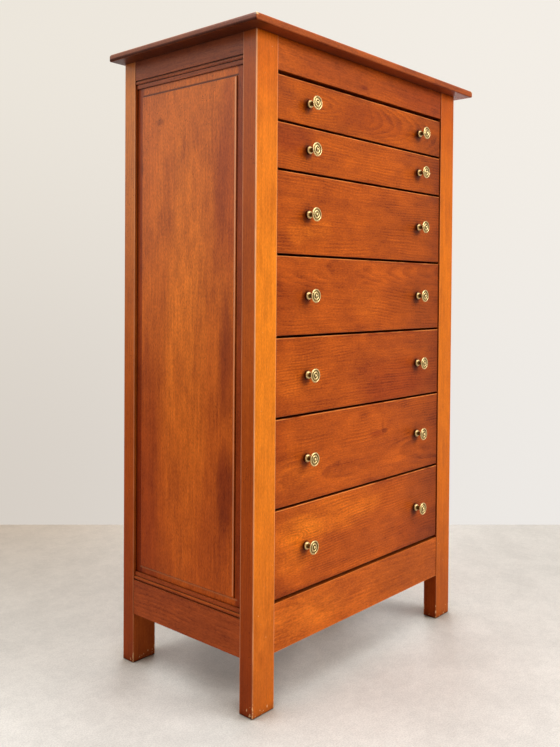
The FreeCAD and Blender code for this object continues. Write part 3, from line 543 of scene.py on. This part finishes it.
def side_panel(name, seed, marks):
    board = Board(name, "zyx", seed)
    rings = board.growth((0.02, 0.06), pitch=0.008, lean=0.03, wander=0.05)
    shade = stained_wood(board, PANEL_COLOUR, rings, line=0.12, streak=0.34, cloud=0.7)
    shade = panel_margin(board, shade_toward_foot(board, marked(board, shade, marks)))
    shoulder = board.band(board.margin(2), 0.0001, 0.0007, 0.0022, 0.0028)
    forward = board.step(board.across, 0.0, -0.10)
    # Painted shade, with grime, on the field's front shoulder beside the post.
    shade = board.tint(shoulder * forward * 0.6, shade, GRIME_AND_SHADE)
    varnish(board, shade, rings, field_edge(board, shoulder, forward), sheen(board), PALE_ARRIS)
    board.wear(name)


def side_rail(name, seed, colour):
    board = Board(name, "yzx", seed)
    rings = board.growth((0.05, 0.05), pitch=0.006)
    shade = shade_toward_foot(board, stained_wood(board, colour, rings, cloud=0.8))
    # Upward ledges are paler, dusty and with a painted highlight of the light from above.
    ledges = board.step(board.normal[2], 0.15, 0.60) * board.step(board.margin(1), 0.030, 0.020)
    varnish(board, specks(board, shade, 0.6), rings, ledges * 0.15, sheen(board) * 0.75)
    board.wear(name)


def front_rail(name, seed, colour, pale_share, marks):
    board = Board(name, "xzy", seed)
    rings = board.growth((0.06, 0.05), pitch=0.0055, lean=0.05)
    shade = stained_wood(board, colour, rings, line=0.16, cloud=0.8)
    edges = paled_edges(board, board.arris(0.0015, ACROSS_INTO)) * pale_share
    varnish(board, marked(board, shade, marks), rings, edges)
    board.wear(name)


def top_board():
    """Its ends are paler, and its underside carries painted shade, darkest under the left overhang and
    lighter to the right.
    """
    board = Board("top", "xyz", 3.0)
    rings = board.growth((0.1, -0.12), pitch=0.006, lean=0.06)
    shade = stained_wood(board, TOP_COLOUR, rings)
    rearward = board.step(board.place[1], -0.20, 0.05)
    shade = board.tint(board.end_face, shade, board.mix(rearward, TOP_END_FRONT, TOP_END_REAR))
    below = board.step(board.into - board.end_face * 0.004, -0.0045, -0.0080)
    shade = board.tint(below, shade, TOP_UNDERSIDE)
    overhang = board.step(board.along, -0.355, -0.380)
    shade = board.tint(below * overhang, shade, TOP_UNDER_LEFT)
    shade = board.tint(below * board.step(board.along, 0.0, 0.38), shade, TOP_UNDER_RIGHT)
    upper = board.step(board.into, 0.001, 0.004)
    edges = paled_edges(board, board.arris(0.003, ACROSS_INTO)) * 0.45
    # Pale chips on the top's upper corners, also a painted highlight.
    shade = board.mix(board.arris(0.008, ALONG_ACROSS) * upper, shade, CHIP_AND_HIGHLIGHT)
    varnish(board, shade, rings, edges * upper, board.end_face * (1.0 - below) * 0.8)
    board.wear("top")


def knob_shadow_and_dirt(board, shade, knobs):
    """A painted shadow of the two knobs with grime from hands, each a little below and to the left of
    its knob.
    """
    low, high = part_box(knobs)
    for knob_x in (low.x + KNOB_RADIUS, high.x - KNOB_RADIUS):
        left = knob_x - KNOB_SHADOW_OFFSET
        dirt_and_shade = board.spot(left, -KNOB_SHADOW_OFFSET, KNOB_SHADOW_RADIUS, KNOB_SHADOW_RADIUS)
        shade = board.tint(dirt_and_shade, shade, KNOB_SHADOW_DIRT)
    return shade


def drawer_front(number, heart, lean, marks, knots=()):
    """Upper drawers have less blue in them. The ends are stained, and the right end is browner with
    painted shade of the right post.
    """
    name = f"drawer_{number}_front"
    board = Board(name, "xzy", number * 2.7)
    rings = board.growth(heart, pitch=0.0055, lean=lean, wander=0.04, knots=knots)
    blueness = min(1.0, 0.30 + number * 0.17)
    colour = scaled(DRAWER_COLOUR, 1.0, 1.0, blueness)
    shade = stained_wood(board, colour, rings, line=0.26, streak=0.36, cloud=0.75, mottle=0.50)
    shade = specks(board, marked(board, shade, marks), 0.5)
    stained = board.step(board.margin(0) + (board.clouds - 0.5) * 0.12, 0.06, -0.01)
    shade = board.tint(stained * 0.40, shade, STAIN)
    # Painted shade of the right post, browning the right end.
    shade = board.tint(board.step(board.along, 0.10, 0.32), shade, BROWN_STAIN_AND_SHADE)
    shade = knob_shadow_and_dirt(board, shade, f"drawer_{number}_knobs")
    smeared = board.step(board.margin(1) + (board.streaks(0.06, 0.02) - 0.5) * 0.03, 0.007, -0.003)
    shade = board.tint(smeared * 0.6, shade, STAIN)
    # The top arris is paler than the bottom one: wear, and a painted highlight of the light from above.
    upper = board.step(board.across, 0.0, 0.01) * 0.9 + 0.1
    varnish(board, shade, rings, paled_edges(board, board.arris(0.0028, ACROSS_INTO)) * upper)
    board.wear(name)


def bare_wood(name, run, seed, *nodes, colour=BARE_COLOUR):
    """Unvarnished wood, or wood with a plain stain, in one material for several nodes."""
    board = Board(name, run, seed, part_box(nodes[0]))
    rings = board.growth((0.02, 0.03), pitch=0.004)
    tone = wood_tone(board, rings, line=0.35, streak=0.35, cloud=0.6)
    shade = board.mix(tone, scaled(colour, *BARE_DEEP), scaled(colour, *BARE_BRIGHT))
    # Painted shade in hollows.
    shade = board.tint(board.gap_shade(BARE_HOLLOW_REACH) * 0.6, shade, BARE_SHELTERED_SHADE)
    board.set(
        Base_Color=shade,
        Roughness=0.62,
        Specular_IOR_Level=0.3,
        Normal=relief(board, rings, BARE_GRAIN_DEPTH),
    )
    board.wear(*nodes)


def brass(name):
    """Polished brass, dark in the rings of a knob's face and round its neck."""
    metal = Surface(name)
    low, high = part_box(name)
    x, z = metal.place[0], metal.place[2]
    sideways = metal.math("ABSOLUTE", x) - (high.x - KNOB_RADIUS)
    up = z - (low.z + high.z) / 2
    radius = metal.math("SQRT", sideways * sideways + up * up)
    old = metal.step(metal.gap_shade(KNOB_NECK_REACH), 0.25, 0.75)
    for inner, outer in KNOB_GROOVES:
        groove = metal.band(radius, inner, inner + GROOVE_EDGE, outer - GROOVE_EDGE, outer)
        old = metal.math("MAXIMUM", old, groove * 0.95)
    clouds_per_metre = 160.0
    cloudy = metal.noise(metal.vector(*[axis * clouds_per_metre for axis in metal.place]), 3.0)
    shade = metal.tint(cloudy, metal.mix(old, BRASS_COLOUR, PATINA_COLOUR), BRASS_CLOUD)
    metal.set(Base_Color=shade, Metallic=1.0, Roughness=old * 0.25 + (cloudy * 0.2 + 0.18))
    metal.wear(name)


def steel(*nodes):
    metal = Surface("screw_steel")
    metal.set(Base_Color=STEEL_COLOUR, Metallic=1.0, Roughness=0.42)
    metal.wear(*nodes)


def make_camera():
    data = bpy.data.cameras.new("camera")
    data.sensor_fit = "AUTO"
    data.sensor_width = SENSOR
    data.lens = FOCAL_PIXELS / IMAGE_SIZE[1] * SENSOR
    data.shift_y = (AXIS_PIXEL_Y - IMAGE_SIZE[1] / 2) / IMAGE_SIZE[1]
    camera = bpy.data.objects.new("camera", data)
    camera.location = CAMERA_PLACE
    camera.rotation_euler = CAMERA_TURN
    bpy.context.scene.collection.objects.link(camera)
    bpy.context.scene.camera = camera


def on_floor(pixel_x, pixel_y):
    """The floor's point that the picture shows at a pixel."""
    right = (pixel_x - IMAGE_SIZE[0] / 2) / FOCAL_PIXELS
    up = (AXIS_PIXEL_Y - pixel_y) / FOCAL_PIXELS
    ray = CAMERA_TURN.to_matrix() @ Vector((right, up, -1))
    return CAMERA_PLACE - ray * (CAMERA_PLACE.z / ray.z)


def rightward_of(x, y):
    """How far to the right a place or a direction of the room is."""
    return x * math.cos(CAMERA_YAW) - y * math.sin(CAMERA_YAW)


def dim_patch(ground, x, y):
    """1 in the middle of the dim patch, falling to 0 at its rim."""
    east, north = x - DIM_PLACE[0], y - DIM_PLACE[1]
    along = (east * math.cos(DIM_TURN) + north * math.sin(DIM_TURN)) / DIM_REACH[0]
    across = (north * math.cos(DIM_TURN) - east * math.sin(DIM_TURN)) / DIM_REACH[1]
    return ground.step(along * along + across * across, 1.0, 0.0)


def floor_surface():
    """A pale mottled floor, darker and warmer far to the left as painted shade, with painted shadow
    under the chest and its feet and a painted glow far off.
    """
    ground = Surface("floor")
    x, y, z = ground.place
    # Painted shade: darker and warmer far off, most of all to the left.
    forward = x * math.sin(CAMERA_YAW) + y * math.cos(CAMERA_YAW)
    rightness = ground.step(rightward_of(x, y), -1.2, 1.0)
    far = ground.mix(rightness, FLOOR_FAR_LEFT, FLOOR_FAR_RIGHT)
    shade = ground.mix(ground.step(forward, -0.7, 1.6), FLOOR_NEAR, far)
    for patches_per_metre, depth in FLOOR_MOTTLE:
        place = ground.vector(x * patches_per_metre, y * patches_per_metre, z)
        mottle = ground.step(ground.noise(place, 3.0, 0.7), 0.62, 0.38)
        shade = ground.tint(mottle, shade, (1.0 - depth,) * 3)
    # Painted shadow round the feet and under the chest.
    contact = ground.step(ground.gap_shade(CONTACT_REACH), 0.04, 0.50)
    shade = ground.tint(contact * 0.8, shade, CONTACT_SHADE)
    # Painted shadow under the chest.
    shade = ground.tint(dim_patch(ground, x, y), shade, DIM_SHADE)
    # Painted light: far off, the floor glows where the camera and gloss see it.
    distance = ground.math("SQRT", x * x + y * y)
    ground.set(
        Base_Color=shade,
        Roughness=0.6,
        Specular_IOR_Level=0.2,
        Emission_Color=FAR_GLOW,
        Emission_Strength=ground.seen() * ground.step(distance, 1.8, 5.5) * FAR_GLOW_STRENGTH,
    )
    return ground.owner


def make_floor():
    """A flat floor that ends at the foot of the wall."""
    left = on_floor(0, WALL_PIXEL_Y)
    right = on_floor(IMAGE_SIZE[0], WALL_PIXEL_Y)
    sideways = (right - left).normalized() * FLOOR_REACH
    nearer = sideways.cross(Vector((0, 0, 1)))
    corners = [left - sideways, right + sideways, right + sideways + nearer, left - sideways + nearer]
    mesh = bpy.data.meshes.new("floor")
    mesh.from_pydata(corners, [], [(3, 2, 1, 0)])
    mesh.materials.append(floor_surface())
    floor = bpy.data.objects.new("floor", mesh)
    bpy.context.scene.collection.objects.link(floor)


def wall_colour(room):
    """The wall's colour in each direction, with painted shade low down and on the left, and a plain one
    below the floor's level.
    """
    toward = Term(room, room.node("ShaderNodeTexCoord").outputs["Generated"])
    x, y, z = room.parts(toward)
    height = room.step(z, -0.30, 0.32)
    left_wall = room.mix(height, LEFT_WALL_LOW, LEFT_WALL_HIGH)
    right_wall = room.mix(height, RIGHT_WALL_LOW, RIGHT_WALL_HIGH)
    wall = room.mix(room.step(rightward_of(x, y), -0.40, 0.35), left_wall, right_wall)
    return room.mix(room.step(z, -0.30, -0.36), wall, BELOW_WALL)


def make_world():
    """The wall's colour where the camera, gloss and glass see it, and a soft fill light elsewhere."""
    world = bpy.data.worlds.new("world")
    bpy.context.scene.world = world
    room = Graph(world)
    shown = room.nodes["Background"]
    room.feed(shown.inputs["Color"], wall_colour(room))
    fill = room.node("ShaderNodeBackground")
    room.feed(fill.inputs["Color"], FILL_COLOUR)
    room.feed(fill.inputs["Strength"], FILL_STRENGTH)
    blend = room.node("ShaderNodeMixShader")
    room.feed(blend.inputs[0], room.seen())
    room.links.new(fill.outputs[0], blend.inputs[1])
    room.links.new(shown.outputs[0], blend.inputs[2])
    room.links.new(blend.outputs[0], room.nodes["World Output"].inputs["Surface"])


def softbox(name, place, target, size, power):
    """A soft lamp of the given size at a place, turned towards its target, with power in watts."""
    data = bpy.data.lights.new(name, "AREA")
    data.shape = "RECTANGLE"
    data.size, data.size_y = size
    data.energy = power
    lamp = bpy.data.objects.new(name, data)
    lamp.location = place
    lamp.rotation_euler = (Vector(target) - Vector(place)).to_track_quat("-Z", "Y").to_euler()
    lamp.visible_camera = False
    bpy.context.scene.collection.objects.link(lamp)


def make_posts():
    post("front_left_post", 1.0, (0.00, 0.09), pale_share=0.60)
    post("front_right_post", 2.0, (0.01, 0.08), FRONT_RIGHT_POST, pale_share=0.20)
    post("rear_left_post", 3.0, (0.02, 0.07), REAR_POSTS, sheen_painted=1.0)
    post("rear_right_post", 4.0, (-0.01, 0.09), REAR_POSTS, sheen_painted=1.0)


def make_sides():
    left_marks = (
        (1.0, PALE, (-0.10, 0.005), (0.60, 0.08)),
        (0.8, STAINED, (0.32, -0.120), (0.26, 0.055)),
        (0.85, BRUISED, (-0.045, -0.118), (0.15, 0.030)),
        (0.9, BRUISED, (-0.31, -0.118), (0.13, 0.033)),
        (0.25, STAINED, (0.35, 0.140), (0.35, 0.055)),
        (0.7, STAINED, (-0.36, 0.135), (0.45, 0.060)),
        (0.55, KNOT, (0.453, 0.086), (0.010, 0.018)),
        (0.8, KNOT, (0.356, 0.147), (0.024, 0.006)),
    )
    right_marks = (
        (0.8, PALE, (0.05, 0.010), (0.50, 0.06)),
        (0.8, STAINED, (-0.2, 0.1), (0.16, 0.03)),
    )
    side_panel("left_panel", 5.0, left_marks)
    side_panel("right_panel", 6.0, right_marks)
    for seed, side in ((7.0, "left"), (8.0, "right")):
        side_rail(f"{side}_top_rail", seed, SIDE_TOP_RAIL_COLOUR)
        side_rail(f"{side}_bottom_rail", seed + 2.0, SIDE_LOW_RAIL_COLOUR)


def make_front_rails():
    top_marks = (
        (0.6, PALE, (-0.31, 0.0), (0.10, 0.06)),
        (0.7, STAINED, (0.30, 0.0), (0.28, 0.06)),
        (0.9, STAINED, (-0.019, -0.016), (0.022, 0.007)),
    )
    bottom_marks = (
        (0.8, PALE, (-0.24, 0.0), (0.20, 0.05)),
        (0.75, BROWN_STAIN_AND_SHADE, (0.20, 0.0), (0.25, 0.08)),
    )
    front_rail("front_top_rail", 11.0, FRONT_TOP_RAIL_COLOUR, 0.0, top_marks)
    front_rail("front_bottom_rail", 12.0, FRONT_LOW_RAIL_COLOUR, 0.8, bottom_marks)


def make_drawer_fronts():
    """Each front has its own heart and lean of the rings, and its own knots and marks."""
    marks = {
        1: ((0.6, STAINED, (0.02, 0.0), (0.20, 0.05)),),
        2: ((0.8, STAINED, (-0.26, 0.02), (0.10, 0.04)),),
        3: (
            (0.9, PALE, (-0.17, -0.03), (0.05, 0.03)),
            (0.9, PALE, (-0.24, -0.04), (0.05, 0.03)),
            (0.5, BROWN_STAIN_AND_SHADE, (0.10, 0.0), (0.15, 0.08)),
        ),
        4: (
            (0.3, STAINED, (-0.26, 0.02), (0.12, 0.05)),
            (0.5, PALE, (0.00, -0.02), (0.08, 0.05)),
            (0.6, BROWN_STAIN_AND_SHADE, (0.16, -0.02), (0.15, 0.07)),
        ),
        5: (
            (0.8, STAINED, (0.12, -0.04), (0.20, 0.07)),
            (0.6, PALE, (-0.26, 0.0), (0.12, 0.06)),
        ),
        6: (
            (0.3, STAINED, (-0.31, 0.04), (0.05, 0.05)),
            (0.6, PALE, (-0.25, -0.03), (0.10, 0.05)),
            (1.0, KNOT, (0.076, 0.023), (0.017, 0.007)),
            (0.5, KNOT, (0.067, 0.035), (0.007, 0.020)),
            (0.7, STAINED, (0.045, 0.019), (0.035, 0.010)),
        ),
        7: (
            (1.0, GLOWING, (-0.10, 0.045), (0.20, 0.05)),
            (1.0, GLOWING, (-0.26, 0.02), (0.12, 0.08)),
            (0.45, STAINED, (0.24, -0.05), (0.18, 0.07)),
        ),
    }
    drawer_front(1, (0.005, 0.03), -0.14, marks[1])
    drawer_front(2, (0.12, 0.05), 0.02, marks[2])
    drawer_front(3, (-0.15, 0.06), 0.02, marks[3])
    drawer_front(4, (0.06, 0.05), 0.08, marks[4])
    drawer_front(5, (0.11, 0.05), -0.03, marks[5])
    drawer_front(6, (-0.04, 0.06), 0.04, marks[6], knots=((0.055, 0.042, 0.016),))
    drawer_front(7, (0.14, 0.05), -0.04, marks[7], knots=((-0.25, 0.03, 0.018),))


def make_inside():
    """The drawers' insides, the runners and the buttons are bare, and the back is stained."""
    bare_wood("drawer_side_wood", "yzx", 21.0, *[f"drawer_{n}_sides" for n in DRAWERS])
    bare_wood("drawer_back_wood", "xzy", 22.0, *[f"drawer_{n}_back" for n in DRAWERS])
    bare_wood("drawer_bottom_wood", "xyz", 23.0, *[f"drawer_{n}_bottom" for n in DRAWERS])
    bare_wood("runner_wood", "yzx", 24.0, "drawer_runners")
    bare_wood("button_wood", "yzx", 25.0, "top_buttons")
    bare_wood("back_rail_wood", "xzy", 26.0, "back_rails", colour=BACK_COLOUR)
    bare_wood("back_panel_wood", "zxy", 27.0, "back_panel", colour=BACK_COLOUR)
    steel("carcass_screws", *[f"drawer_{n}_knob_screws" for n in DRAWERS])


make_camera()
make_floor()
make_world()
softbox("key", (1.8, -3.8, 2.6), (0, -0.2, 0.6), (2.5, 2.0), 115)
softbox("side", (-1.9, 0.9, 2.7), (-0.35, 0, 1.0), (1.2, 1.2), 16)
softbox("above", (-0.6, -0.4, 3.8), (-0.4, 0, 0), (3.5, 3.5), 90)
softbox("rear", (3.0, 2.6, 0.9), (0.0, 0.2, 0.0), (2.0, 1.2), 80)
bpy.context.scene.view_settings.view_transform = "Standard"

make_posts()
make_sides()
make_front_rails()
top_board()
make_drawer_fronts()
for number in DRAWERS:
    brass(f"drawer_{number}_knobs")
make_inside()
